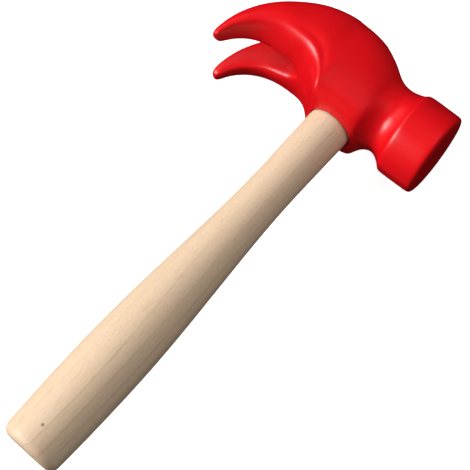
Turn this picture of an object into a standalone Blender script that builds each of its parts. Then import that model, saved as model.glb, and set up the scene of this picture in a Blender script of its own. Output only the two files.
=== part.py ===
"""Claw hammer with a chubby moulded head and a turned wooden handle.

Frame: the hammer lies on its side.  +X points out of the striking face, +Y runs
along the handle from the butt to the head, +Z is up through the cheek.  The
origin is under the middle of the whole hammer, on the surface it lies on.
Everything is worked out from the handle's axis (x = 0, z = 0) and the collar's
lower face (y = 0), and the finished set is then moved to that origin.
"""

from math import atan2, cos, pi, radians, sin, sqrt

import bmesh
import bpy
from mathutils import Vector

# ---- Driving dimensions, in metres -------------------------------------------------

# Poll: the round striking end.
FACE_X = 0.0533               # striking face, ahead of the handle's axis
RIM_X = 0.0318                # back rim, where the poll turns in to the neck
RIM_LEAD = 0.0035             # length over which it turns in
POLL_RADIUS = 0.0234
POLL_AXIS_Y = 0.0230          # poll's axis above the collar's lower face
EDGE_ROUND = 0.0012           # softened edge of the striking face
FLAT_RADIUS = 0.0120          # truly flat middle of the striking face
NECK_X = 0.0232
NECK_RADIUS = 0.0184
NECK_AXIS_Y = 0.0256           # the neck sits a little higher than the poll

# Collar and cheeks.
COLLAR_FRONT = 0.0146
COLLAR_BACK = 0.0150
COLLAR_LEAD = 0.0022          # rows of the cage lie this far before and after an end of the collar
NECK_HALF_WIDTH = 0.0200      # where the neck meets the collar
BACK_HALF_WIDTH = 0.0264      # over the back of the collar
CHEEK_HALF_WIDTH = 0.0285     # widest place, beside the slot's root

# Crown and arch: two circles in the side view.
CROWN_X = -0.0212
CROWN_Y = -0.0002
CROWN_RADIUS = 0.0566
ARCH_X = -0.0380
ARCH_Y = -0.0090
ARCH_RADIUS = 0.0233          # underside along the middle
ARCH_EASE = 0.0022            # the arch opens by this much towards the collar
ARCH_START = radians(24.0)    # the collar's end of the arch
CROWN_START = radians(66.5)   # place on the crown over that end

# Claws, by their angle round the arch's centre.
SLOT_ANGLE = radians(79.0)
TIP_ANGLE = radians(174.5)
SLOT_ROOT = 0.0035            # half-widths of the slot
SLOT_MOUTH = 0.0146
TIP_HALF_WIDTH = 0.0215
TIP_THICKNESS = 0.0052

# Handle.
GRIP_LENGTH = 0.2205          # from the collar to the butt
COLLAR_GRIP_RADIUS = 0.0123
WAIST_RADIUS = 0.0118
SWELL_RADIUS = 0.0165
BUTT_RADIUS = 0.0151
BUTT_ROUND = 0.0048
WAIST_END = 0.0450
SWELL_PEAK = 0.1650

# Tenon, eye and wedges.
TENON_RADIUS = 0.0102
TENON_TOP_RADIUS = 0.0112
TENON_LEAD = 0.0180           # cone between the grip and the tenon
TENON_FLARE = 0.0200          # length over which the top of the tenon spreads
END_BELOW_CROWN = 0.0012      # the sawn end lies this far under the crown's tangent
WEDGE_DEPTH = 0.0300
WEDGE_THICKNESS = 0.0044
WEDGE_TOE = 0.0016
BARB_DEPTH = 0.0140
BARB_WIDTH = 0.0120
BARB_THICKNESS = 0.0022
BARB_TOE = 0.0010
BARB_SPACING = 0.0110
FIT = 0.0003                  # clearance between pieces that touch
SAW_SIZE = 0.0600             # block that trims the tenon's end
THROUGH = 0.0150              # cutters and untrimmed ends run this far past the surface

SIDES = 20                    # points round the head's cage
ARCH_ROWS = 4                 # rows of the cage over the arch
CLAW_ROWS = 8                 # and from the slot's root to the tips
SMOOTHING = 1
TURN_STEPS = 32               # round the handle
GRIP_STEPS = 22               # along the grip
BUTT_STEPS = 5                # round the butt's edge
MERGE = 0.00001               # points closer than this are joined


# ---- Scene, materials and small helpers --------------------------------------------

def clear_scene():
    for obj in list(bpy.data.objects):
        bpy.data.objects.remove(obj, do_unlink=True)


def new_collection(name):
    collection = bpy.data.collections.new(name)
    bpy.context.scene.collection.children.link(collection)
    return collection


def make_material(name, colour, roughness, metallic=0.0):
    material = bpy.data.materials.new(name)
    material.use_nodes = True
    shader = material.node_tree.nodes["Principled BSDF"]
    shader.inputs["Base Color"].default_value = (*colour, 1.0)
    shader.inputs["Roughness"].default_value = roughness
    shader.inputs["Metallic"].default_value = metallic
    material.diffuse_color = (*colour, 1.0)
    return material


def add_object(name, mesh, collection, material=None):
    obj = bpy.data.objects.new(name, mesh)
    collection.objects.link(obj)
    if material is not None:
        mesh.materials.append(material)
    return obj


def hide_cutter(obj):
    obj.hide_render = True
    obj.display_type = "WIRE"


def add_boolean(obj, cutter, operation="DIFFERENCE"):
    modifier = obj.modifiers.new(cutter.name, "BOOLEAN")
    modifier.operation = operation
    modifier.object = cutter
    modifier.solver = "EXACT"


def mix(start, end, share):
    return start + (end - start) * share


def ease(share):
    share = min(max(share, 0.0), 1.0)
    return share * share * (3.0 - 2.0 * share)


# ---- Head: side-view curves --------------------------------------------------------

def crown_point(angle):
    """Where a ray from the arch's centre meets the crown's circle."""
    ray = Vector((cos(angle), sin(angle)))
    offset = Vector((ARCH_X - CROWN_X, ARCH_Y - CROWN_Y))
    along = -offset.dot(ray)
    reach = along + sqrt(along ** 2 - offset.length_squared + CROWN_RADIUS ** 2)
    return Vector((ARCH_X, ARCH_Y)) + ray * reach


def crown_height(x):
    return CROWN_Y + sqrt(CROWN_RADIUS ** 2 - (x - CROWN_X) ** 2)


def arch_point(angle, radius):
    return Vector((ARCH_X + radius * cos(angle), ARCH_Y + radius * sin(angle)))


# ---- Head: half sections -----------------------------------------------------------
# Each half section is a list of (half-width, height) shares from the middle of the
# underside, round the outside, to the middle of the crown.

def round_shares():
    """A circle, spread a little because smoothing pulls a cage inwards."""
    spread = 6.0 / (4.0 + 2.0 * cos(2.0 * pi / SIDES))
    angles = [-pi / 2.0 + 2.0 * pi * i / SIDES for i in range(SIDES // 2 + 1)]
    return [(cos(a) * spread, 0.5 + 0.5 * sin(a) * spread) for a in angles]


COLLAR_SHARES = [(0.0, 0.0), (0.36, 0.0), (0.61, 0.0), (0.80, 0.045), (0.92, 0.13), (0.98, 0.25),
                 (1.02, 0.39), (1.03, 0.58), (0.93, 0.88), (0.55, 1.03), (0.0, 1.04)]
BACK_SHARES = [(0.0, 0.0), (0.45, 0.0), (0.82, 0.005), (0.96, 0.06), (0.965, 0.13), (1.005, 0.23),
               (1.02, 0.39), (1.01, 0.60), (0.90, 0.88), (0.53, 1.02), (0.0, 1.035)]
CHEEK_SHARES = [(0.0, 0.0), (0.50, 0.03), (0.87, 0.09), (0.985, 0.17), (0.95, 0.235), (1.015, 0.31),
                (1.01, 0.44), (0.97, 0.64), (0.84, 0.88), (0.50, 1.01), (0.0, 1.03)]
CLAW_SHARES = [(0.0, -0.09), (0.45, -0.02), (0.85, 0.09), (1.00, 0.17), (1.04, 0.25), (1.06, 0.35),
               (1.03, 0.48), (0.92, 0.68), (0.70, 0.87), (0.40, 0.95), (0.10, 0.86)]
WALL_SHARES = [(0.02, 0.60), (-0.02, 0.26)]


def blend_shares(first, second, share):
    return [(mix(a[0], b[0], share), mix(a[1], b[1], share)) for a, b in zip(first, second)]


def place_section(base, top, inner, outer, shares):
    """Turn shares into points: base and top are in the side view, widths in z."""
    points = []
    for across, up in shares:
        side = base.lerp(top, up)
        points.append(Vector((side.x, side.y, mix(inner, outer, across))))
    return points


def poll_sections():
    rings = [
        # x, radius, how far the axis has risen from the poll's to the neck's
        (FACE_X, FLAT_RADIUS, 0.0),
        (FACE_X, POLL_RADIUS - EDGE_ROUND * 1.4, 0.0),
        (FACE_X - EDGE_ROUND, POLL_RADIUS, 0.0),
        (FACE_X - EDGE_ROUND * 4.0, POLL_RADIUS, 0.0),
        (RIM_X + EDGE_ROUND * 4.0, POLL_RADIUS + 0.0002, 0.18),
        (RIM_X + EDGE_ROUND, POLL_RADIUS + 0.0001, 0.20),
        (RIM_X, POLL_RADIUS - 0.0005, 0.22),
        (RIM_X - EDGE_ROUND, POLL_RADIUS - 0.0017, 0.30),
        (RIM_X - RIM_LEAD, mix(POLL_RADIUS, NECK_RADIUS, 0.62), 0.62),
        (NECK_X, NECK_RADIUS, 1.0),
    ]
    sections = []
    for x, radius, rise in rings:
        axis = mix(POLL_AXIS_Y, NECK_AXIS_Y, rise)
        base = Vector((x, axis - radius))
        top = Vector((x, axis + radius))
        sections.append(place_section(base, top, 0.0, radius, round_shares()))
    return sections


def body_sections():
    """From the neck to the back of the collar, over the flat lower face."""
    neck_low = NECK_AXIS_Y - NECK_RADIUS
    neck_high = NECK_AXIS_Y + NECK_RADIUS
    front = COLLAR_FRONT
    back = -COLLAR_BACK
    stations = [
        # lower x and y, upper x and y, how far the width has grown, share of the collar shape, of the back
        (front + COLLAR_LEAD, neck_low * 0.65, front + 0.0029, neck_high - 0.0002, 0.00, 0.25, 0.0),
        (front, 0.0000, front - 0.0016, neck_high + 0.0010, 0.12, 0.65, 0.0),
        (front - COLLAR_LEAD, 0.0000, front - 0.0066, crown_height(front - 0.0066), 0.34, 0.90, 0.0),
        (0.0010, 0.0000, -0.0010, crown_height(-0.0010), 0.67, 1.00, 0.0),
        (back + COLLAR_LEAD, 0.0000, back + 0.0095, crown_height(back + 0.0095), 0.89, 1.00, 0.50),
    ]
    sections = []
    for low_x, low_y, high_x, high_y, growth, collar_share, back_share in stations:
        shares = blend_shares(round_shares(), COLLAR_SHARES, collar_share)
        shares = blend_shares(shares, BACK_SHARES, back_share)
        width = mix(NECK_HALF_WIDTH, BACK_HALF_WIDTH, growth)
        sections.append(place_section(Vector((low_x, low_y)), Vector((high_x, high_y)), 0.0, width, shares))
    return sections


def arch_sections():
    """Over the arch, from the back of the collar to the root of the slot."""
    sections = []
    for i in range(ARCH_ROWS):
        share = i / ARCH_ROWS
        angle = mix(ARCH_START, SLOT_ANGLE, share)
        lean = mix(CROWN_START, SLOT_ANGLE, share)
        width = mix(BACK_HALF_WIDTH, CHEEK_HALF_WIDTH, ease(share))
        shares = blend_shares(BACK_SHARES, CHEEK_SHARES, ease(share * 1.6))
        base = arch_point(angle, ARCH_RADIUS + ARCH_EASE * (1.0 - ease(share * 2.0)))
        sections.append(place_section(base, crown_point(lean), 0.0, width, shares))
    return sections


def claw_sections():
    """From the slot's root to the tip: half-widths of the slot and of the outside."""
    sections = []
    for i in range(CLAW_ROWS + 1):
        share = i / CLAW_ROWS
        angle = mix(SLOT_ANGLE, TIP_ANGLE, share)
        crown = crown_point(angle)
        tip_gap = (crown - Vector((ARCH_X, ARCH_Y))).length - TIP_THICKNESS
        base = arch_point(angle, mix(ARCH_RADIUS, tip_gap, share ** 2.1))
        inner = 0.0 if i == 0 else mix(SLOT_ROOT, SLOT_MOUTH, share ** 0.8)
        outer = mix(CHEEK_HALF_WIDTH, TIP_HALF_WIDTH, share ** 1.6)
        shares = blend_shares(CHEEK_SHARES, CLAW_SHARES, ease(share * 3.0))
        sections.append(place_section(base, crown, inner, outer, shares))
        if i > 0:
            sections[-1] += place_section(base, crown, inner, outer, WALL_SHARES)
        else:
            sections[-1] += place_section(base, crown, 0.0, 0.0, WALL_SHARES)
    return sections


def build_head(collection, cutters, material):
    """Half a cage, from the striking face back to one claw's tip, then mirrored."""
    mesh = bpy.data.meshes.new("head")
    cage = bmesh.new()
    rows = []
    for section in poll_sections() + body_sections() + arch_sections() + claw_sections():
        rows.append([cage.verts.new(point) for point in section])
    outline = SIDES // 2 + 1
    for front, back in zip(rows, rows[1:]):
        for i in range(outline - 1):
            cage.faces.new((front[i], back[i], back[i + 1], front[i + 1]))
        if len(front) > outline:
            loop = list(range(outline - 1, len(front))) + [0]
            for i, j in zip(loop, loop[1:]):
                cage.faces.new((front[i], back[i], back[j], front[j]))
    cage.faces.new(rows[0])
    cage.faces.new(list(reversed(rows[-1])))
    bmesh.ops.recalc_face_normals(cage, faces=cage.faces)
    cage.to_mesh(mesh)
    cage.free()
    head = add_object("head", mesh, collection, material)
    mirror = head.modifiers.new("other_half", "MIRROR")
    mirror.use_axis = (False, False, True)
    mirror.use_clip = True
    mirror.merge_threshold = MERGE
    smooth = head.modifiers.new("moulded_form", "SUBSURF")
    smooth.levels = SMOOTHING
    smooth.render_levels = SMOOTHING
    add_boolean(head, turned("eye_cutter", eye_profile(), cutters))
    mesh.shade_smooth()
    return head


# ---- Handle ------------------------------------------------------------------------

def grip_radius(drop):
    """Radius of the grip at a distance below the collar."""
    if drop < WAIST_END:
        return mix(COLLAR_GRIP_RADIUS, WAIST_RADIUS, ease(drop / WAIST_END))
    if drop < SWELL_PEAK:
        share = (drop - WAIST_END) / (SWELL_PEAK - WAIST_END)
        return mix(WAIST_RADIUS, SWELL_RADIUS, ease(share))
    share = (drop - SWELL_PEAK) / (GRIP_LENGTH - SWELL_PEAK)
    return mix(SWELL_RADIUS, BUTT_RADIUS, share ** 2)


def eye_top():
    """Height where the crown crosses the handle's axis."""
    return crown_height(0.0)


def tenon_profile(clearance, lowest, highest):
    """Outer line of the tenon, from the top down to the collar."""
    flare_start = eye_top() - TENON_FLARE
    return [(TENON_TOP_RADIUS + clearance, highest),
            (TENON_TOP_RADIUS + clearance, eye_top()),
            (TENON_RADIUS + clearance, flare_start),
            (TENON_RADIUS + clearance, TENON_LEAD),
            (COLLAR_GRIP_RADIUS + clearance, 0.0),
            (COLLAR_GRIP_RADIUS + clearance, lowest)]


def eye_profile():
    outer = tenon_profile(FIT, -THROUGH, eye_top() + THROUGH)
    return [(0.0, outer[0][1])] + outer + [(0.0, outer[-1][1])]


def handle_profile():
    outer = tenon_profile(0.0, 0.0, eye_top() + THROUGH)[:-1]
    lowest = GRIP_LENGTH - BUTT_ROUND
    for i in range(1, GRIP_STEPS + 1):
        drop = lowest * i / GRIP_STEPS
        outer.append((grip_radius(drop), -drop))
    corner = grip_radius(lowest) - BUTT_ROUND
    for i in range(1, BUTT_STEPS + 1):
        angle = pi / 2.0 * i / BUTT_STEPS
        outer.append((corner + BUTT_ROUND * cos(angle), -lowest - BUTT_ROUND * sin(angle)))
    return [(0.0, outer[0][1])] + outer + [(0.0, -GRIP_LENGTH)]


def turned(name, profile, collection, material=None):
    """A profile (radius, height), top to bottom, turned round the handle's axis."""
    mesh = bpy.data.meshes.new(name)
    points = [(radius, 0.0, height) for radius, height in profile]
    edges = [(i, i + 1) for i in range(len(points) - 1)]
    mesh.from_pydata(points, edges, [])
    obj = add_object(name, mesh, collection, material)
    screw = obj.modifiers.new("turning", "SCREW")
    screw.axis = "Z"
    screw.steps = TURN_STEPS
    screw.render_steps = TURN_STEPS
    screw.use_merge_vertices = True
    screw.merge_threshold = MERGE
    obj.rotation_euler.x = -pi / 2.0
    if material is None:
        hide_cutter(obj)
    return obj


# ---- Wedges ------------------------------------------------------------------------

def crown_tilt():
    """Slope of the crown where the handle's axis comes out."""
    return atan2(-CROWN_X, crown_height(0.0) - CROWN_Y)


def block(name, size, centre, collection, toe=1.0):
    """A box of (x, y, z) size whose thickness in z shrinks to a toe at its lower end."""
    mesh = bpy.data.meshes.new(name)
    shape = bmesh.new()
    bmesh.ops.create_cube(shape, size=1.0)
    for vert in shape.verts:
        narrow = toe if vert.co.y < 0.0 else 1.0
        vert.co = Vector((vert.co.x * size[0], vert.co.y * size[1], vert.co.z * size[2] * narrow))
    shape.to_mesh(mesh)
    shape.free()
    obj = add_object(name, mesh, collection)
    obj.location = centre
    return obj


def saw_cutter(cutters):
    """Everything above the sawn end of the tenon, which follows the crown's slope."""
    saw = block("saw_cutter", (SAW_SIZE, SAW_SIZE, SAW_SIZE), (0.0, 0.0, 0.0), cutters)
    tilt = crown_tilt()
    up = Vector((sin(tilt), cos(tilt), 0.0))
    middle = Vector((0.0, eye_top(), 0.0)) + up * (SAW_SIZE / 2.0 - END_BELOW_CROWN)
    saw.location = middle
    saw.rotation_euler.z = -tilt
    hide_cutter(saw)
    return saw


def wedge_block(name, collection, clearance):
    """The hardwood wedge's taper: wide in x, thin in z."""
    height = WEDGE_DEPTH + THROUGH
    slope = (WEDGE_THICKNESS - WEDGE_TOE) / WEDGE_DEPTH
    thick = WEDGE_THICKNESS + slope * THROUGH + 2.0 * clearance
    toe = (WEDGE_TOE + 2.0 * clearance) / thick
    middle_y = eye_top() - WEDGE_DEPTH + height / 2.0
    size = (4.0 * TENON_TOP_RADIUS, height + 2.0 * clearance, thick)
    return block(name, size, (0.0, middle_y, 0.0), collection, toe)


def barb_block(name, x, collection, clearance):
    """One steel wedge's taper: wide in z, thin in x."""
    height = BARB_DEPTH + THROUGH
    slope = (BARB_THICKNESS - BARB_TOE) / BARB_DEPTH
    thick = BARB_THICKNESS + slope * THROUGH + 2.0 * clearance
    toe = (BARB_TOE + 2.0 * clearance) / thick
    size = (BARB_WIDTH + 2.0 * clearance, height + 2.0 * clearance, thick)
    middle_y = crown_height(x) - BARB_DEPTH + height / 2.0
    obj = block(name, size, (x, middle_y, 0.0), collection, toe)
    obj.rotation_euler.y = pi / 2.0
    return obj


def main():
    clear_scene()
    parts = new_collection("claw_hammer")
    cutters = new_collection("cutters")

    red = make_material("moulded_red", (0.72, 0.01, 0.015), 0.38)
    maple = make_material("maple", (0.76, 0.56, 0.36), 0.55)
    hardwood = make_material("wedge_wood", (0.42, 0.24, 0.12), 0.60)
    steel = make_material("wedge_steel", (0.55, 0.56, 0.58), 0.35, 1.0)

    saw = saw_cutter(cutters)
    kerf = wedge_block("kerf_cutter", cutters, FIT)
    hide_cutter(kerf)
    barb_places = {"steel_wedge_front": BARB_SPACING / 2.0, "steel_wedge_rear": -BARB_SPACING / 2.0}
    barb_slots = []
    for name, x in barb_places.items():
        slot = barb_block(name + "_slot", x, cutters, FIT)
        hide_cutter(slot)
        barb_slots.append(slot)
    limit_top = eye_top() + 2.0 * THROUGH
    limit_line = [(0.0, limit_top), (TENON_RADIUS, limit_top), (TENON_RADIUS, 0.0), (0.0, 0.0)]
    tenon_limit = turned("tenon_limit", limit_line, cutters)

    head = build_head(parts, cutters, red)

    handle = turned("handle", handle_profile(), parts, maple)
    add_boolean(handle, saw)
    add_boolean(handle, kerf)
    for slot in barb_slots:
        add_boolean(handle, slot)

    wedge = wedge_block("eye_wedge", parts, 0.0)
    wedge.data.materials.append(hardwood)
    add_boolean(wedge, tenon_limit, "INTERSECT")
    add_boolean(wedge, saw)
    for slot in barb_slots:
        add_boolean(wedge, slot)

    pieces = [head, handle, wedge]
    for name, x in barb_places.items():
        barb = barb_block(name, x, parts, 0.0)
        barb.data.materials.append(steel)
        add_boolean(barb, saw)
        pieces.append(barb)

    # Move the whole set so that the origin is under its middle.
    bpy.context.view_layer.update()
    depsgraph = bpy.context.evaluated_depsgraph_get()
    corners = []
    for piece in pieces:
        shown = piece.evaluated_get(depsgraph)
        corners += [shown.matrix_world @ vert.co for vert in shown.data.vertices]
    low = Vector([min(corner[axis] for corner in corners) for axis in range(3)])
    high = Vector([max(corner[axis] for corner in corners) for axis in range(3)])
    root = bpy.data.objects.new("hammer_frame", None)
    parts.objects.link(root)
    for obj in list(parts.objects) + list(cutters.objects):
        if obj is not root:
            obj.parent = root
    root.location = (-(low.x + high.x) / 2.0, -(low.y + high.y) / 2.0, -low.z)
    bpy.context.view_layer.update()


main()
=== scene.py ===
# %% [markdown]
# # A claw hammer with a soft moulded head
#
# The hammer lies on its side. +X points out of the striking face, +Y runs along the
# handle towards the head and +Z is up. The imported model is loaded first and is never
# changed. It gives the places that every new piece is modelled at.

from math import cos, pi, radians, sin, sqrt

import bmesh
import bpy
from mathutils import Matrix, Vector


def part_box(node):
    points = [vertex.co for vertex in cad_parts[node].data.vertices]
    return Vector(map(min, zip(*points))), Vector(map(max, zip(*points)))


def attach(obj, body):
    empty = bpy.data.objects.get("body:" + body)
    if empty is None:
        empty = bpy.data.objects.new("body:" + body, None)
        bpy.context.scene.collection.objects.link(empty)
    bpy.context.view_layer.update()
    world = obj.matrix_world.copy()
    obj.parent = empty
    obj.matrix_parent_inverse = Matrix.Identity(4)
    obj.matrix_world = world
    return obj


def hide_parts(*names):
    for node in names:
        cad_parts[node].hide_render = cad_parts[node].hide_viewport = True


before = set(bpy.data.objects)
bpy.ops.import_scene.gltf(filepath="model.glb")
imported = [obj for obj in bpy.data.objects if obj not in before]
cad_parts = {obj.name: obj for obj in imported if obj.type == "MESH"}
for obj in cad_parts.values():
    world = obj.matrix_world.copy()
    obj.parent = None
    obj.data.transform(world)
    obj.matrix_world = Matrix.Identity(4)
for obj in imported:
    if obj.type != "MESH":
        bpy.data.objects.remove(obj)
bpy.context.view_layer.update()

# %% [markdown]
# ## Where everything is
# One point is enough to place the hammer: where the handle's axis meets the collar's
# lower face. The handle's own box gives the axis and the butt, and the grip's length
# gives the collar. Every piece is modelled round that point and then moved to it.

# %% The hammer's own origin
GRIP_LENGTH = 0.2205
handle_low, handle_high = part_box("handle")
AXIS = Vector(((handle_low.x + handle_high.x) / 2.0,
               handle_low.y + GRIP_LENGTH,
               (handle_low.z + handle_high.z) / 2.0))
print("Handle's axis meets the collar at", tuple(round(value, 4) for value in AXIS))

# %% [markdown]
# ## Working by hand, in code
# Each piece starts as a primitive and is shaped in edit mode. These short helpers only
# say in words what a person does with the mouse: start on a clean selection, pick points
# by their place, move them, and finish a modifier.

# %% Helpers for modelling
def clear_selection():
    bpy.ops.object.select_all(action="DESELECT")


def begin_edit():
    bpy.ops.object.mode_set(mode="EDIT")


def end_edit():
    bpy.ops.object.mode_set(mode="OBJECT")


def edit_shape():
    return bmesh.from_edit_mesh(bpy.context.object.data)


def select_points(test):
    """Select the points whose place passes the test, and the edges between them."""
    shape = edit_shape()
    for vert in shape.verts:
        vert.select = test(vert.co)
    shape.select_flush_mode()
    bmesh.update_edit_mesh(bpy.context.object.data)


def apply_modifier(piece, kind, name, **settings):
    modifier = piece.modifiers.new(name, kind)
    for key, value in settings.items():
        setattr(modifier, key, value)
    bpy.context.view_layer.objects.active = piece
    bpy.ops.object.modifier_apply(modifier=modifier.name)


def finish_piece(piece, name, smooth_angle=35.0):
    """Point the faces outwards, shade the round parts smooth and apply the place."""
    clear_selection()
    piece.select_set(True)
    bpy.context.view_layer.objects.active = piece
    begin_edit()
    bpy.ops.mesh.select_all(action="SELECT")
    bpy.ops.mesh.normals_make_consistent(inside=False)
    end_edit()
    bpy.ops.object.shade_smooth_by_angle(angle=radians(smooth_angle))
    bpy.ops.object.transform_apply(location=True, rotation=True, scale=True)
    piece.name = name
    piece.data.name = name
    print(name, "has", len(piece.data.polygons), "faces")


def mix(start, end, share):
    return start + (end - start) * share


def ease(share):
    share = min(max(share, 0.0), 1.0)
    return share * share * (3.0 - 2.0 * share)

# %% [markdown]
# ## The head's side view
# A moulded head has no flat stock to start from, so its outline is drawn first. Two
# circles do most of the work: one for the crown, from the neck round to the claw tips,
# and one for the arch under the claws. The poll and the neck are plain rounds.

# %% Sizes of the head
FACE_X = 0.0533
FLAT_RADIUS = 0.0120
RIM_X = 0.0318
RIM_LEAD = 0.0035
POLL_RADIUS = 0.0234
POLL_AXIS_Y = 0.0230
EDGE_ROUND = 0.0012
NECK_X = 0.0232
NECK_RADIUS = 0.0184
NECK_AXIS_Y = 0.0256
COLLAR_FRONT = 0.0146
COLLAR_BACK = 0.0150
COLLAR_LEAD = 0.0022
BACK_HALF_WIDTH = 0.0264
CHEEK_HALF_WIDTH = 0.0285
CROWN_CENTRE = Vector((-0.0212, -0.0002))
CROWN_RADIUS = 0.0566
ARCH_CENTRE = Vector((-0.0380, -0.0090))
ARCH_RADIUS = 0.0233
ARCH_EASE = 0.0022
ARCH_START = radians(24.0)
CROWN_START = radians(66.5)
SLOT_ANGLE = radians(79.0)
TIP_ANGLE = radians(174.5)
SLOT_ROOT = 0.0035
SLOT_MOUTH = 0.0146
TIP_HALF_WIDTH = 0.0215
TIP_THICKNESS = 0.0052
ARCH_ROWS = 4
CLAW_ROWS = 8


def crown_point(angle):
    """Where a ray from the arch's centre meets the crown's circle."""
    ray = Vector((cos(angle), sin(angle)))
    offset = ARCH_CENTRE - CROWN_CENTRE
    along = -offset.dot(ray)
    reach = along + sqrt(along ** 2 - offset.length_squared + CROWN_RADIUS ** 2)
    return ARCH_CENTRE + ray * reach


def crown_over(x):
    """The crown's point straight over a place on the handle's side of the head."""
    return Vector((x, CROWN_CENTRE.y + sqrt(CROWN_RADIUS ** 2 - (x - CROWN_CENTRE.x) ** 2)))


def arch_point(angle, radius):
    return ARCH_CENTRE + Vector((cos(angle), sin(angle))) * radius


print("The crown is", round(crown_over(0.0).y, 4), "m over the collar's face, on the handle's axis")

# %% [markdown]
# ## Rows across the head
# The skin is a coarse cage of rows, each one half of a cross-section. A row runs from the
# middle of the underside, out round the ridge and the cheek, up to the middle of the
# crown. Beyond the slot's root a row also has two points down the slot's wall. Each shape
# below is written once, as shares of a row's width and height, and rows between two shapes
# are a blend of them. Subdivision later makes the smooth form.

# %% Shapes of the rows
SIDES = 20
SPREAD = 6.0 / (4.0 + 2.0 * cos(2.0 * pi / SIDES))
ROUND = [(cos(a) * SPREAD, 0.5 + 0.5 * sin(a) * SPREAD)
         for a in [-pi / 2.0 + 2.0 * pi * i / SIDES for i in range(SIDES // 2 + 1)]]
COLLAR = [(0.0, 0.0), (0.36, 0.0), (0.61, 0.0), (0.80, 0.045), (0.92, 0.13), (0.98, 0.25),
          (1.02, 0.39), (1.03, 0.58), (0.93, 0.88), (0.55, 1.03), (0.0, 1.04)]
BACK = [(0.0, 0.0), (0.45, 0.0), (0.82, 0.005), (0.96, 0.06), (0.965, 0.13), (1.005, 0.23),
        (1.02, 0.39), (1.01, 0.60), (0.90, 0.88), (0.53, 1.02), (0.0, 1.035)]
CHEEK = [(0.0, 0.0), (0.50, 0.03), (0.87, 0.09), (0.985, 0.17), (0.95, 0.235), (1.015, 0.31),
         (1.01, 0.44), (0.97, 0.64), (0.84, 0.88), (0.50, 1.01), (0.0, 1.03)]
CLAW = [(0.0, -0.09), (0.45, -0.02), (0.85, 0.09), (1.00, 0.17), (1.04, 0.25), (1.06, 0.35),
        (1.03, 0.48), (0.92, 0.68), (0.70, 0.87), (0.40, 0.95), (0.10, 0.86)]
WALL = [(0.02, 0.60), (-0.02, 0.26)]


def blend_rows(first, second, share):
    return [(mix(a[0], b[0], share), mix(a[1], b[1], share)) for a, b in zip(first, second)]


def row_points(base, top, inner, outer, shares):
    points = []
    for across, up in shares:
        side = base.lerp(top, up)
        points.append(Vector((side.x, side.y, mix(inner, outer, across))))
    return points


# %% Rows of the poll and the neck
def poll_rows():
    rings = [
        # x, radius, how far the axis has risen from the poll's to the neck's
        (FACE_X, FLAT_RADIUS, 0.0),
        (FACE_X, POLL_RADIUS - EDGE_ROUND * 1.4, 0.0),
        (FACE_X - EDGE_ROUND, POLL_RADIUS, 0.0),
        (FACE_X - EDGE_ROUND * 4.0, POLL_RADIUS, 0.0),
        (RIM_X + EDGE_ROUND * 4.0, POLL_RADIUS + 0.0002, 0.18),
        (RIM_X + EDGE_ROUND, POLL_RADIUS + 0.0001, 0.20),
        (RIM_X, POLL_RADIUS - 0.0005, 0.22),
        (RIM_X - EDGE_ROUND, POLL_RADIUS - 0.0017, 0.30),
        (RIM_X - RIM_LEAD, mix(POLL_RADIUS, NECK_RADIUS, 0.62), 0.62),
        (NECK_X, NECK_RADIUS, 1.0),
    ]
    rows = []
    for x, radius, rise in rings:
        middle = mix(POLL_AXIS_Y, NECK_AXIS_Y, rise)
        low = Vector((x, middle - radius))
        high = Vector((x, middle + radius))
        rows.append(row_points(low, high, 0.0, radius, ROUND))
    return rows


# %% Rows of the collar and the cheeks
def body_rows():
    neck_low = NECK_AXIS_Y - NECK_RADIUS
    neck_high = NECK_AXIS_Y + NECK_RADIUS
    stations = [
        # lower point, upper point, half-width, share of the collar's shape, share of the back's
        (Vector((COLLAR_FRONT + COLLAR_LEAD, neck_low * 0.65)), Vector((0.0175, neck_high - 0.0002)),
         0.0200, 0.25, 0.0),
        (Vector((COLLAR_FRONT, 0.0)), Vector((0.0130, neck_high + 0.0010)), 0.0208, 0.65, 0.0),
        (Vector((COLLAR_FRONT - COLLAR_LEAD, 0.0)), crown_over(0.0080), 0.0222, 0.90, 0.0),
        (Vector((0.0010, 0.0)), crown_over(-0.0010), 0.0243, 1.00, 0.0),
        (Vector((-COLLAR_BACK + COLLAR_LEAD, 0.0)), crown_over(-0.0055), 0.0257, 1.00, 0.50),
    ]
    rows = []
    for low, high, width, collar_share, back_share in stations:
        shares = blend_rows(blend_rows(ROUND, COLLAR, collar_share), BACK, back_share)
        rows.append(row_points(low, high, 0.0, width, shares))
    return rows


# %% Rows over the arch and along a claw
def arch_rows():
    rows = []
    for i in range(ARCH_ROWS):
        share = i / ARCH_ROWS
        base = arch_point(mix(ARCH_START, SLOT_ANGLE, share),
                          ARCH_RADIUS + ARCH_EASE * (1.0 - ease(share * 2.0)))
        top = crown_point(mix(CROWN_START, SLOT_ANGLE, share))
        width = mix(BACK_HALF_WIDTH, CHEEK_HALF_WIDTH, ease(share))
        rows.append(row_points(base, top, 0.0, width, blend_rows(BACK, CHEEK, ease(share * 1.6))))
    return rows


def claw_rows():
    rows = []
    for i in range(CLAW_ROWS + 1):
        share = i / CLAW_ROWS
        angle = mix(SLOT_ANGLE, TIP_ANGLE, share)
        top = crown_point(angle)
        tip_gap = (top - ARCH_CENTRE).length - TIP_THICKNESS
        base = arch_point(angle, mix(ARCH_RADIUS, tip_gap, share ** 2.1))
        inner = 0.0 if i == 0 else mix(SLOT_ROOT, SLOT_MOUTH, share ** 0.8)
        outer = mix(CHEEK_HALF_WIDTH, TIP_HALF_WIDTH, share ** 1.6)
        row = row_points(base, top, inner, outer, blend_rows(CHEEK, CLAW, ease(share * 3.0)))
        wall_outer = 0.0 if i == 0 else outer
        rows.append(row + row_points(base, top, inner, wall_outer, WALL))
    return rows


body = poll_rows() + body_rows() + arch_rows()
claw = claw_rows()
print(len(body) + len(claw), "rows make half the head")

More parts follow.
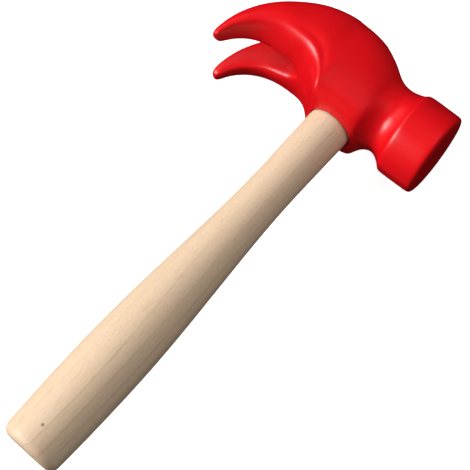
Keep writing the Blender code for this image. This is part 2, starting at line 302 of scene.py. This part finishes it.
# %% [markdown]
# ## Growing the head from one ring
# The head could be carved with Booleans, but a moulding has no hard joins. So half of it
# is grown the way a soft form is box-modelled: a circle at the striking face is cut in
# half, its row of points is extruded backwards again and again, and after each extrusion
# the new points are moved to their places. At the slot's root the row is closed by an
# edge down the slot's wall, and from there the closed loop is extruded out to the tip.

# %% Helpers for a row of points
def selected_row():
    """Indices of the selected points."""
    shape = edit_shape()
    shape.verts.index_update()
    return [vert.index for vert in shape.verts if vert.select]


def select_row(indices):
    bpy.ops.mesh.select_all(action="DESELECT")
    shape = edit_shape()
    shape.verts.ensure_lookup_table()
    for index in indices:
        shape.verts[index].select = True
    shape.select_flush(True)
    bmesh.update_edit_mesh(bpy.context.object.data)


def place_of(index):
    shape = edit_shape()
    shape.verts.ensure_lookup_table()
    return shape.verts[index].co.copy()


def in_order(indices, places):
    """Put the points of a row in the order of the places that they lie at."""
    return [min(indices, key=lambda index: (place_of(index) - place).length) for place in places]


def move_row(indices, places):
    """Move each point of a row, one at a time, to its own place."""
    for index, place in zip(indices, places):
        select_row([index])
        bpy.ops.transform.translate(value=place - place_of(index))
    select_row(indices)


def grow_row(before, after):
    """Extrude the selected row and move the new points to their places."""
    bpy.ops.mesh.extrude_region_move()
    fresh = in_order(selected_row(), before)
    move_row(fresh, after)
    return fresh


# %% Start with half a ring at the striking face
def start_half_ring(first):
    """A circle at the striking face, cut at z = 0 so that only its +Z half is left."""
    clear_selection()
    bpy.ops.mesh.primitive_circle_add(vertices=SIDES, radius=FLAT_RADIUS, rotation=(0.0, pi / 2.0, 0.0),
                                      location=(FACE_X, POLL_AXIS_Y, 0.0))
    bpy.ops.object.transform_apply(location=True, rotation=True, scale=True)
    ring = bpy.context.object
    begin_edit()
    bpy.ops.mesh.select_all(action="DESELECT")
    select_points(lambda place: place.z < -EDGE_ROUND * 0.1)
    bpy.ops.mesh.delete(type="VERT")
    bpy.ops.mesh.select_all(action="SELECT")
    row = in_order(selected_row(), first)
    move_row(row, first)
    return ring, row


head, row = start_half_ring(body[0])
bpy.ops.mesh.edge_face_add()
print("The half ring has", len(row), "points")

# %% Extrude back to the slot's root, then out along the claw
for before, after in zip(body, body[1:] + [claw[0][:len(body[0])]]):
    row = grow_row(before, after)

# Close the last row down the slot's root, so that what is extruded next is a closed loop.
select_row([row[-1], row[0]])
bpy.ops.mesh.edge_face_add()
bpy.ops.mesh.subdivide(number_cuts=len(WALL))
wall = [index for index in selected_row() if index not in (row[0], row[-1])]
wall = in_order(wall, claw[0][len(body[0]):])
move_row(wall, claw[0][len(body[0]):])
row = row + wall
select_row(row)
for before, after in zip(claw, claw[1:]):
    row = grow_row(before, after)
bpy.ops.mesh.edge_face_add()
end_edit()
print("The half cage has", len(head.data.polygons), "faces")

# %% [markdown]
# ## Mirror, then smooth
# Mirror makes the far half and joins it along the middle plane. Subdivision Surface then
# turns the coarse cage into the soft moulded skin. Both are applied, because the eye is
# cut through the finished skin and its rim should stay crisp.
#
# Known fault: the first row is filled before it is extruded, so every extrusion also
# leaves a face in the middle plane. The mirrored head keeps them as a hidden wall and
# isn't one closed solid, and the eye's cut then opens the skin but builds almost none of
# the eye's lining. The handle hides that. The wall also holds the root of the claws' slot
# about 2 mm off the smooth surface, in a strip 4 mm wide.

# %% Mirror and smooth the head
MERGE = 0.00001
HEAD_SMOOTHING = 3
apply_modifier(head, "MIRROR", "far half", use_axis=(False, False, True), use_clip=True,
               merge_threshold=MERGE)
apply_modifier(head, "SUBSURF", "moulded skin", levels=HEAD_SMOOTHING, render_levels=HEAD_SMOOTHING)
print("The smooth head has", len(head.data.polygons), "faces")

# %% [markdown]
# ## The handle's outline
# The grip is turned on a lathe: a slight waist below the collar, a swell for the palm and
# a rounded butt. Above the collar a short cone leads to the tenon, which fills the eye of
# the head and spreads a little at the top, where the wedges open it.

# %% Sizes of the handle
COLLAR_GRIP_RADIUS = 0.0123
WAIST_RADIUS = 0.0118
SWELL_RADIUS = 0.0165
BUTT_RADIUS = 0.0151
BUTT_ROUND = 0.0048
WAIST_END = 0.0450
SWELL_PEAK = 0.1650
TENON_RADIUS = 0.0102
TENON_TOP_RADIUS = 0.0112
TENON_LEAD = 0.0180
TENON_FLARE = 0.0200
END_BELOW_CROWN = 0.0012
FIT = 0.0003
THROUGH = 0.0150
EYE_TOP = crown_over(0.0).y

# %% Radius of the grip, and rings of the tenon
def grip_radius(drop):
    """Radius of the grip at a distance below the collar."""
    if drop < WAIST_END:
        return mix(COLLAR_GRIP_RADIUS, WAIST_RADIUS, ease(drop / WAIST_END))
    if drop < SWELL_PEAK:
        return mix(WAIST_RADIUS, SWELL_RADIUS, ease((drop - WAIST_END) / (SWELL_PEAK - WAIST_END)))
    return mix(SWELL_RADIUS, BUTT_RADIUS, ((drop - SWELL_PEAK) / (GRIP_LENGTH - SWELL_PEAK)) ** 2)


def tenon_rings(clearance):
    """Rings (height, radius) of the tenon, from above the crown down to the collar."""
    return [(EYE_TOP + THROUGH, TENON_TOP_RADIUS + clearance),
            (EYE_TOP, TENON_TOP_RADIUS + clearance),
            (EYE_TOP - TENON_FLARE, TENON_RADIUS + clearance),
            (TENON_LEAD, TENON_RADIUS + clearance),
            (0.0, COLLAR_GRIP_RADIUS + clearance)]


print("The grip is", round(2.0 * grip_radius(SWELL_PEAK), 4), "m across at the swell")

# %% [markdown]
# ## Turning on the handle's axis
# A lathe takes wood off while the work spins. Here it is the other way round: one filled
# circle is extruded along Y, and each new ring is scaled to the radius that it needs.
# The same helper turns the handle and the cutter for the eye, so the two always fit.

# %% Turn a round piece
TURN_SIDES = 96


def turn_rings(rings):
    """A closed round solid on the Y axis from a list of (height, radius) rings."""
    clear_selection()
    height, radius = rings[0]
    bpy.ops.mesh.primitive_circle_add(vertices=TURN_SIDES, radius=radius, fill_type="NGON",
                                      rotation=(pi / 2.0, 0.0, 0.0), location=(0.0, height, 0.0))
    bpy.ops.object.transform_apply(location=True, rotation=True, scale=True)
    piece = bpy.context.object
    begin_edit()
    bpy.ops.mesh.select_all(action="SELECT")
    for next_height, next_radius in rings[1:]:
        bpy.ops.mesh.extrude_region_move()
        bpy.ops.transform.translate(value=(0.0, next_height - height, 0.0))
        scale = next_radius / radius
        bpy.ops.transform.resize(value=(scale, 1.0, scale), center_override=(0.0, next_height, 0.0))
        height, radius = next_height, next_radius
    bpy.ops.mesh.select_all(action="SELECT")
    bpy.ops.mesh.normals_make_consistent(inside=False)
    end_edit()
    return piece


def cut_away(piece, cutter):
    """Cut one solid out of another and throw the cutter away."""
    apply_modifier(piece, "BOOLEAN", "cut", operation="DIFFERENCE", object=cutter, solver="EXACT")
    bpy.data.objects.remove(cutter, do_unlink=True)


# %% Cut the eye
EYE_LIP = 0.0007
LIP_STEPS = 4


def eye_cutter():
    """The tenon's shape with its clearance, and a small quarter round at the eye's mouth."""
    rings = tenon_rings(FIT)
    collar_radius = rings[-1][1]
    rings[-1] = (EYE_LIP, collar_radius)
    for i in range(1, LIP_STEPS + 1):
        angle = pi / 2.0 * i / LIP_STEPS
        rings.append((EYE_LIP * (1.0 - sin(angle)), collar_radius + EYE_LIP * (1.0 - cos(angle))))
    rings.append((-THROUGH, collar_radius + EYE_LIP))
    return turn_rings(rings)


cut_away(head, eye_cutter())
head.location = AXIS
finish_piece(head, "moulded_head", smooth_angle=40.0)
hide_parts("head")
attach(head, "root")

# %% [markdown]
# ## The turned handle
# The profile is a list of rings worked out from the radius at each depth, with closer
# rings round the butt. The tenon starts above the crown and is sawn off afterwards along
# a plane that follows the crown's slope, just under the surface, as a handle is trimmed
# after it has been driven home.

# %% Turn the handle
GRIP_STEPS = 48
BUTT_STEPS = 8


def handle_rings():
    rings = tenon_rings(0.0)
    lowest = GRIP_LENGTH - BUTT_ROUND
    for i in range(1, GRIP_STEPS + 1):
        drop = lowest * i / GRIP_STEPS
        rings.append((-drop, grip_radius(drop)))
    corner = grip_radius(lowest) - BUTT_ROUND
    for i in range(1, BUTT_STEPS + 1):
        angle = pi / 2.0 * i / BUTT_STEPS
        rings.append((-lowest - BUTT_ROUND * sin(angle), corner + BUTT_ROUND * cos(angle)))
    return rings


handle = turn_rings(handle_rings())
print("The turned handle has", len(handle.data.polygons), "faces")

# %% Saw the tenon off
CROWN_UP = Vector((-CROWN_CENTRE.x, EYE_TOP - CROWN_CENTRE.y, 0.0)).normalized()
SAWN_POINT = Vector((0.0, EYE_TOP, 0.0)) - CROWN_UP * END_BELOW_CROWN


def saw_off(piece):
    """Saw a piece off just under the crown, and close the cut."""
    clear_selection()
    piece.select_set(True)
    bpy.context.view_layer.objects.active = piece
    begin_edit()
    bpy.ops.mesh.select_all(action="SELECT")
    bpy.ops.mesh.bisect(plane_co=SAWN_POINT, plane_no=CROWN_UP, use_fill=True, clear_outer=True)
    end_edit()


saw_off(handle)
print("The trimmed handle has", len(handle.data.polygons), "faces")

# %% [markdown]
# ## Wedges
# A handle is locked by spreading its tenon inside the eye. A hardwood wedge runs along
# the head in a sawn kerf, and two steel wedges are driven across it. A cube with one face
# scaled down gives each taper. The cutters are the same wedges with a little clearance,
# so that the pieces stay apart.

# %% Sizes of the wedges
WEDGE_DEPTH = 0.0300
WEDGE_THICKNESS = 0.0044
WEDGE_TOE = 0.0016
BARB_DEPTH = 0.0140
BARB_WIDTH = 0.0120
BARB_THICKNESS = 0.0022
BARB_TOE = 0.0010
BARB_SPACING = 0.0110
STEEL_PLACES = {"steel_wedge_front": BARB_SPACING / 2.0, "steel_wedge_rear": -BARB_SPACING / 2.0}
print("Steel wedges stand at x =", sorted(STEEL_PLACES.values()))

# %% Model a wedge
def taper(width, thick, toe, top, depth, across, clearance=0.0):
    """A wedge under a height: its wide way is X, or Z when it lies across."""
    slope = (thick - toe) / depth
    head_thick = thick + slope * THROUGH + 2.0 * clearance
    toe_thick = toe + 2.0 * clearance
    tall = depth + THROUGH + 2.0 * clearance
    clear_selection()
    bpy.ops.mesh.primitive_cube_add(size=1.0)
    piece = bpy.context.object
    piece.scale = (width + 2.0 * clearance, tall, head_thick)
    piece.rotation_euler.y = pi / 2.0 if across else 0.0
    middle = top - depth + (depth + THROUGH) / 2.0
    piece.location = (0.0, middle, 0.0)
    bpy.ops.object.transform_apply(location=True, rotation=True, scale=True)
    begin_edit()
    select_points(lambda place: place.y < middle)
    share = toe_thick / head_thick
    narrow = (share, 1.0, 1.0) if across else (1.0, 1.0, share)
    bpy.ops.transform.resize(value=narrow, center_override=(0.0, top - depth, 0.0))
    end_edit()
    return piece


def kerf_wedge(clearance=0.0):
    width = 4.0 * TENON_TOP_RADIUS
    return taper(width, WEDGE_THICKNESS, WEDGE_TOE, EYE_TOP, WEDGE_DEPTH, False, clearance)


def steel_wedge(x, clearance=0.0):
    piece = taper(BARB_WIDTH, BARB_THICKNESS, BARB_TOE, crown_over(x).y, BARB_DEPTH, True, clearance)
    piece.location.x = x
    bpy.ops.object.transform_apply(location=True, rotation=True, scale=True)
    return piece

# %% Cut the kerf and the slots, and finish the handle
cut_away(handle, kerf_wedge(FIT))
for x in STEEL_PLACES.values():
    cut_away(handle, steel_wedge(x, FIT))
handle.location = AXIS
finish_piece(handle, "turned_handle")
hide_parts("handle")
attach(handle, "root")

# %% Fit the hardwood wedge
SHARP_BREAK = 0.00015


def break_edges(piece):
    """Take the sharpness off every corner of a piece, as stamping and filing do."""
    apply_modifier(piece, "BEVEL", "broken edges", width=SHARP_BREAK, segments=2,
                   limit_method="ANGLE", angle_limit=radians(40.0))


hardwood = kerf_wedge()
tenon_limit = turn_rings([(EYE_TOP + 2.0 * THROUGH, TENON_RADIUS), (0.0, TENON_RADIUS)])
apply_modifier(hardwood, "BOOLEAN", "within the tenon", operation="INTERSECT",
               object=tenon_limit, solver="EXACT")
bpy.data.objects.remove(tenon_limit, do_unlink=True)
saw_off(hardwood)
for x in STEEL_PLACES.values():
    cut_away(hardwood, steel_wedge(x, FIT))
hardwood.location = AXIS
finish_piece(hardwood, "hardwood_wedge")
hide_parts("eye_wedge")
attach(hardwood, "root")

# %% Fit the steel wedges
steel_pieces = []
for name, x in STEEL_PLACES.items():
    piece = steel_wedge(x)
    saw_off(piece)
    break_edges(piece)
    piece.location = AXIS
    finish_piece(piece, "barbed_" + name)
    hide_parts(name)
    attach(piece, "root")
    steel_pieces.append(piece)

# %% [markdown]
# ## Materials: a small kit of nodes
# Every finish reads Object coordinates. All pieces share one frame and their objects sit
# at the origin, so a pattern that crosses two pieces lines up by itself. The helpers
# below add a node and link it, which keeps each finish short enough to read.

# %% Node helpers
class Finish:
    """A material under construction: its tree, its shader and a place to read from."""

    def __init__(self, name):
        self.material = bpy.data.materials.new(name)
        self.material.use_nodes = True
        self.tree = self.material.node_tree
        self.shader = self.tree.nodes["Principled BSDF"]
        self.place = self.add("ShaderNodeTexCoord").outputs["Object"]

    def add(self, kind, **settings):
        node = self.tree.nodes.new(kind)
        for key, value in settings.items():
            setattr(node, key, value)
        return node

    def link(self, source, target):
        self.tree.links.new(source, target)

    def stretch(self, scale, centre=(0.0, 0.0, 0.0), turn=(0.0, 0.0, 0.0)):
        """Object coordinates about a centre, turned and scaled."""
        node = self.add("ShaderNodeMapping", vector_type="POINT")
        node.inputs["Scale"].default_value = scale
        node.inputs["Rotation"].default_value = turn
        shift = self.add("ShaderNodeVectorMath", operation="SUBTRACT")
        shift.inputs[1].default_value = centre
        self.link(self.place, shift.inputs[0])
        self.link(shift.outputs["Vector"], node.inputs["Vector"])
        return node.outputs["Vector"]

    def noise(self, where, scale, detail=3.0, roughness=0.5, distortion=0.0):
        node = self.add("ShaderNodeTexNoise")
        node.inputs["Scale"].default_value = scale
        node.inputs["Detail"].default_value = detail
        node.inputs["Roughness"].default_value = roughness
        node.inputs["Distortion"].default_value = distortion
        self.link(where, node.inputs["Vector"])
        return node.outputs["Fac"]

    def spread(self, value, low, high, out_low=0.0, out_high=1.0):
        """Map a value from one range to another, and stop at the ends."""
        node = self.add("ShaderNodeMapRange", clamp=True)
        node.inputs["From Min"].default_value = low
        node.inputs["From Max"].default_value = high
        node.inputs["To Min"].default_value = out_low
        node.inputs["To Max"].default_value = out_high
        self.link(value, node.inputs["Value"])
        return node.outputs["Result"]

    def math(self, operation, first, second):
        node = self.add("ShaderNodeMath", operation=operation)
        for socket, value in zip(node.inputs, (first, second)):
            if isinstance(value, float):
                socket.default_value = value
            else:
                self.link(value, socket)
        return node.outputs["Value"]

    def blend(self, amount, first, second, kind="MIX"):
        """Mix two colours, each a plain colour or another node's output."""
        node = self.add("ShaderNodeMix", data_type="RGBA", blend_type=kind)
        self.link(amount, node.inputs["Factor"])
        for name, colour in (("A", first), ("B", second)):
            socket = [item for item in node.inputs if item.name == name and item.type == "RGBA"][0]
            if isinstance(colour, tuple):
                socket.default_value = (*colour, 1.0)
            else:
                self.link(colour, socket)
        return [item for item in node.outputs if item.type == "RGBA"][0]

    def bump(self, height, distance, strength=1.0, over=None):
        node = self.add("ShaderNodeBump")
        node.inputs["Distance"].default_value = distance
        node.inputs["Strength"].default_value = strength
        self.link(height, node.inputs["Height"])
        if over is not None:
            self.link(over, node.inputs["Normal"])
        return node.outputs["Normal"]

    def set(self, **values):
        for name, value in values.items():
            self.shader.inputs[name.replace("_", " ").title().replace("Ior", "IOR")].default_value = value


def dress(piece, finish):
    piece.data.materials.clear()
    piece.data.materials.append(finish.material)

# %% [markdown]
# ## Soft red vinyl
# The head is a soft moulded plastic with a satin skin. Its red is deep and even, so the
# life comes from small things: slow changes of tone, the fine orange-peel skin left by
# the mould, a slightly paler tone on the edges that is partly rubbed wear and partly a
# painted highlight, and a few faint scuffs that catch the light. A little subsurface
# scattering keeps the thin claw tips from looking like painted metal.

# %% Red vinyl
DEEP_RED = (0.710, 0.0021, 0.0068)
BRIGHT_RED = (0.780, 0.0030, 0.0068)
# Paler red for the edges: partly rubbed wear, partly a painted highlight.
RUBBED_AND_HIGHLIGHT_RED = (0.840, 0.012, 0.013)


def red_vinyl():
    skin = Finish("red_vinyl")
    where = skin.stretch((1.0, 1.0, 1.0), centre=tuple(AXIS))
    tone = skin.spread(skin.noise(where, 45.0, 2.0), 0.3, 0.7)
    colour = skin.blend(tone, DEEP_RED, BRIGHT_RED)
    # Pointiness pales the ridges and rims: partly rubbed wear, partly a painted highlight along them.
    wear_and_highlight = skin.add("ShaderNodeNewGeometry").outputs["Pointiness"]
    wear_and_highlight = skin.spread(wear_and_highlight, 0.515, 0.560, 0.0, 0.45)
    patchy = skin.spread(skin.noise(where, 260.0, 4.0, 0.6), 0.35, 0.65, 0.4, 1.0)
    colour = skin.blend(skin.math("MULTIPLY", wear_and_highlight, patchy), colour, RUBBED_AND_HIGHLIGHT_RED)
    skin.link(colour, skin.shader.inputs["Base Color"])

    peel = skin.noise(where, 1500.0, 2.0, 0.45)
    pores = skin.noise(where, 5200.0, 2.0, 0.5)
    scuff_place = skin.stretch((1.0, 22.0, 9.0), centre=tuple(AXIS), turn=(0.4, 0.2, 0.9))
    scuffs = skin.spread(skin.noise(scuff_place, 34.0, 5.0, 0.7), 0.64, 0.74)
    roughness = skin.spread(skin.noise(where, 190.0, 3.0), 0.3, 0.7, 0.31, 0.36)
    roughness = skin.math("ADD", roughness, skin.math("MULTIPLY", scuffs, 0.10))
    skin.link(roughness, skin.shader.inputs["Roughness"])
    normal = skin.bump(peel, 0.00004, 0.30)
    normal = skin.bump(pores, 0.00001, 0.30, over=normal)
    normal = skin.bump(scuffs, 0.00002, 0.30, over=normal)
    skin.link(normal, skin.shader.inputs["Normal"])
    skin.set(ior=1.48, subsurface_weight=0.04, specular_ior_level=0.50)
    skin.shader.inputs["Subsurface Radius"].default_value = (0.0030, 0.0004, 0.0003)
    return skin

# %% [markdown]
# ## Pale turned wood
# The blank is sawn from a pale, close-grained wood such as birch or maple. A tree's rings
# are cylinders round its pith, and the pith is well outside a small blank like this. So
# the rings are drawn round a leaning line beside the handle, and turning the blank then
# brings out long stripes on the sides and arcs on the sawn ends, with no extra work.
# A soft mottle, fine fibres, short dark pores and flecks, and one pin knot are laid over
# the rings. The hardwood wedge uses the same finish in darker tones, with no knot.

# %% Turned wood
PITH = (0.055, 0.0, -0.035)
PITH_LEAN = (radians(1.6), 0.0, radians(3.4))
RING_SPACING = 0.0056
RING_WANDER = 0.0100
RING_SHARPNESS = 8.0
RING_STRENGTH = 0.80
KNOT_CORE = 0.0003
KNOT_EDGE = 0.0011
KNOT_COLOUR = (0.10, 0.045, 0.022)
PIN_KNOT = Vector((0.0012, -0.2079, 0.0153))


def turned_wood(name, early, late, with_knot=True):
    wood = Finish(name)
    along = wood.stretch((1.0, 0.10, 1.0), centre=tuple(AXIS))
    wander = wood.noise(along, 42.0, 2.0, 0.5)
    rings = wood.stretch((1.0, 0.0, 1.0), centre=tuple(AXIS + Vector(PITH)), turn=PITH_LEAN)
    reach = wood.add("ShaderNodeVectorMath", operation="LENGTH")
    wood.link(rings, reach.inputs[0])
    wavy = wood.math("ADD", reach.outputs["Value"], wood.math("MULTIPLY", wander, RING_WANDER))
    count = wood.math("DIVIDE", wavy, RING_SPACING)
    fraction = wood.math("FRACT", count, 0.0)
    late_wood = wood.math("POWER", fraction, RING_SHARPNESS)
    fall = wood.spread(fraction, 0.94, 1.0, 1.0, 0.0)
    late_wood = wood.math("MULTIPLY", late_wood, fall)
    uneven = wood.spread(wood.noise(along, 60.0, 2.0), 0.35, 0.70, 0.15, 1.0)
    late_wood = wood.math("MULTIPLY", wood.math("MULTIPLY", late_wood, uneven), RING_STRENGTH)
    colour = wood.blend(late_wood, early, late)

    mottle_place = wood.stretch((1.0, 0.35, 1.0), centre=tuple(AXIS))
    mottle = wood.spread(wood.noise(mottle_place, 120.0, 3.0, 0.6), 0.3, 0.7)
    warm = tuple(value * shade for value, shade in zip(early, (1.03, 0.93, 0.84)))
    colour = wood.blend(wood.math("MULTIPLY", mottle, 0.40), colour, warm)
    fibre_place = wood.stretch((1.0, 0.022, 1.0), centre=tuple(AXIS))
    fibres = wood.noise(fibre_place, 2600.0, 3.0, 0.65)
    fine = wood.spread(fibres, 0.35, 0.75)
    dark = tuple(value * shade for value, shade in zip(early, (0.80, 0.74, 0.66)))
    colour = wood.blend(wood.math("MULTIPLY", fine, 0.22), colour, dark)
    pore_place = wood.stretch((1.0, 0.45, 1.0), centre=tuple(AXIS))
    pores = wood.spread(wood.noise(pore_place, 1100.0, 2.0, 0.7), 0.40, 0.65)
    colour = wood.blend(wood.math("MULTIPLY", pores, 0.34), colour, dark)
    fleck_place = wood.stretch((1.0, 0.10, 1.0), centre=tuple(AXIS))
    flecks = wood.spread(wood.noise(fleck_place, 900.0, 1.0, 0.4), 0.66, 0.74)
    colour = wood.blend(wood.math("MULTIPLY", flecks, 0.22), colour, late)
    if with_knot:
        gap = wood.add("ShaderNodeVectorMath", operation="DISTANCE")
        gap.inputs[1].default_value = tuple(AXIS + PIN_KNOT)
        wood.link(wood.place, gap.inputs[0])
        knot = wood.spread(gap.outputs["Value"], KNOT_CORE, KNOT_EDGE, 0.85, 0.0)
        colour = wood.blend(knot, colour, KNOT_COLOUR)
    wood.link(colour, wood.shader.inputs["Base Color"])
    roughness = wood.spread(fibres, 0.3, 0.7, 0.50, 0.62)
    wood.link(roughness, wood.shader.inputs["Roughness"])
    normal = wood.bump(fibres, 0.00005, 0.35)
    normal = wood.bump(late_wood, 0.00005, 0.30, over=normal)
    wood.link(normal, wood.shader.inputs["Normal"])
    wood.set(ior=1.45)
    return wood

# %% [markdown]
# ## Wedge steel
# The steel wedges are stamped from strip, so their sawn tops show fine straight scratches
# and a few darker stains.

# %% Wedge steel
CLEAN_STEEL = (0.56, 0.56, 0.57)
STAINED_STEEL = (0.33, 0.30, 0.28)


def wedge_steel():
    steel = Finish("scratched_steel")
    lines = steel.noise(steel.stretch((1.0, 1.0, 0.04), centre=tuple(AXIS)), 5000.0, 3.0, 0.6)
    stain = steel.spread(steel.noise(steel.place, 400.0, 4.0, 0.6), 0.45, 0.75)
    colour = steel.blend(stain, CLEAN_STEEL, STAINED_STEEL)
    steel.link(colour, steel.shader.inputs["Base Color"])
    steel.link(steel.spread(lines, 0.3, 0.7, 0.42, 0.58), steel.shader.inputs["Roughness"])
    steel.link(steel.bump(lines, 0.00003, 0.4), steel.shader.inputs["Normal"])
    steel.set(metallic=0.75)
    return steel


# %% Dress the pieces
PALE_EARLY = (0.760, 0.580, 0.410)
PALE_LATE = (0.430, 0.250, 0.120)
BROWN_EARLY = (0.400, 0.220, 0.110)
BROWN_LATE = (0.220, 0.110, 0.050)
dress(head, red_vinyl())
dress(handle, turned_wood("turned_wood", PALE_EARLY, PALE_LATE))
dress(hardwood, turned_wood("wedge_hardwood", BROWN_EARLY, BROWN_LATE, with_knot=False))
steel_finish = wedge_steel()
for piece in steel_pieces:
    dress(piece, steel_finish)
print("Dressed", len(bpy.data.materials), "materials")

# %% [markdown]
# ## A pale table and soft light
# The hammer lies on a plain pale table. One large soft light on the side of the claws and
# the handle does most of the work. A weak one beyond the claws lays a gentle sheen on the
# skin, and one overhead only fills the shade, because it is hidden from reflections. The
# side of the striking face stays darkest, which shows its edge.

# %% Table
# The table glows so that it stays white, and it is hidden from the rays that light the
# hammer, so the glow throws no light or reflection back on to it.
TABLE_SIZE = 6.0
TABLE_GLOW = 0.85
WHITE = (1.0, 1.0, 1.0, 1.0)
clear_selection()
bpy.ops.mesh.primitive_plane_add(size=TABLE_SIZE, location=(0.0, 0.0, 0.0))
table = bpy.context.object
table.name = "table"
paper = Finish("pale_table")
grain = paper.spread(paper.noise(paper.place, 700.0, 2.0), 0.3, 0.7)
paper.link(paper.blend(grain, (0.90, 0.90, 0.90), (0.92, 0.92, 0.92)), paper.shader.inputs["Base Color"])
paper.set(roughness=0.8, emission_strength=TABLE_GLOW)
paper.shader.inputs["Emission Color"].default_value = WHITE
dress(table, paper)
table.visible_diffuse = False
table.visible_glossy = False
print("The table is", TABLE_SIZE, "m square")

# %% Lights
LIGHT_DISTANCE = 2.0


def soft_light(name, direction, size, power):
    """A round area light that faces the hammer from a direction."""
    clear_selection()
    place = AXIS + Vector(direction).normalized() * LIGHT_DISTANCE
    bpy.ops.object.light_add(type="AREA", location=place)
    lamp = bpy.context.object
    lamp.name = name
    lamp.data.shape = "DISK"
    lamp.data.size = size
    lamp.data.energy = power
    lamp.rotation_euler = (AXIS - place).to_track_quat("-Z", "Y").to_euler()
    return lamp


soft_light("key", (-0.64, -0.54, 0.44), size=1.25, power=48.0)
soft_light("side", (-0.80, 0.15, 0.60), size=1.20, power=3.5)
overhead = soft_light("overhead", (0.22, 0.12, 1.0), size=1.40, power=15.0)
overhead.visible_glossy = False

# %% Surroundings
# The camera sees white, and the hammer gets only a weak even light from all round.
WORLD_LIGHT = 0.15
WORLD_SEEN = 1.0
world = bpy.data.worlds.new("studio")
world.use_nodes = True
sky = world.node_tree.nodes["Background"]
sky.inputs["Color"].default_value = WHITE
seen = world.node_tree.nodes.new("ShaderNodeLightPath")
strength = world.node_tree.nodes.new("ShaderNodeMapRange")
strength.inputs["To Min"].default_value = WORLD_LIGHT
strength.inputs["To Max"].default_value = WORLD_SEEN
world.node_tree.links.new(seen.outputs["Is Camera Ray"], strength.inputs["Value"])
world.node_tree.links.new(strength.outputs["Result"], sky.inputs["Strength"])
world.cycles_visibility.glossy = False
bpy.context.scene.world = world

# %% [markdown]
# ## Camera
# The camera looks down on the hammer from beyond its striking side, a little turned, so
# that the handle runs across the frame from corner to corner.

# %% Camera
CAMERA_FROM_AXIS = Vector((0.1124, -0.2281, 0.4053))
AIM_FROM_AXIS = Vector((0.00236, -0.07905, 0.0))
CAMERA_ROLL = radians(3.78)
LENS = 68.95
SENSOR = 36.0
clear_selection()
bpy.ops.object.camera_add(location=AXIS + CAMERA_FROM_AXIS)
camera = bpy.context.object
aim = (AIM_FROM_AXIS - CAMERA_FROM_AXIS).to_track_quat("-Z", "Y").to_matrix().to_4x4()
camera.rotation_euler = (aim @ Matrix.Rotation(CAMERA_ROLL, 4, "Z")).to_euler()
camera.data.lens = LENS
camera.data.sensor_width = SENSOR
camera.data.clip_start = 0.01
bpy.context.scene.camera = camera
bpy.context.scene.view_settings.view_transform = "Standard"
print("The camera is at", tuple(round(value, 3) for value in camera.location))
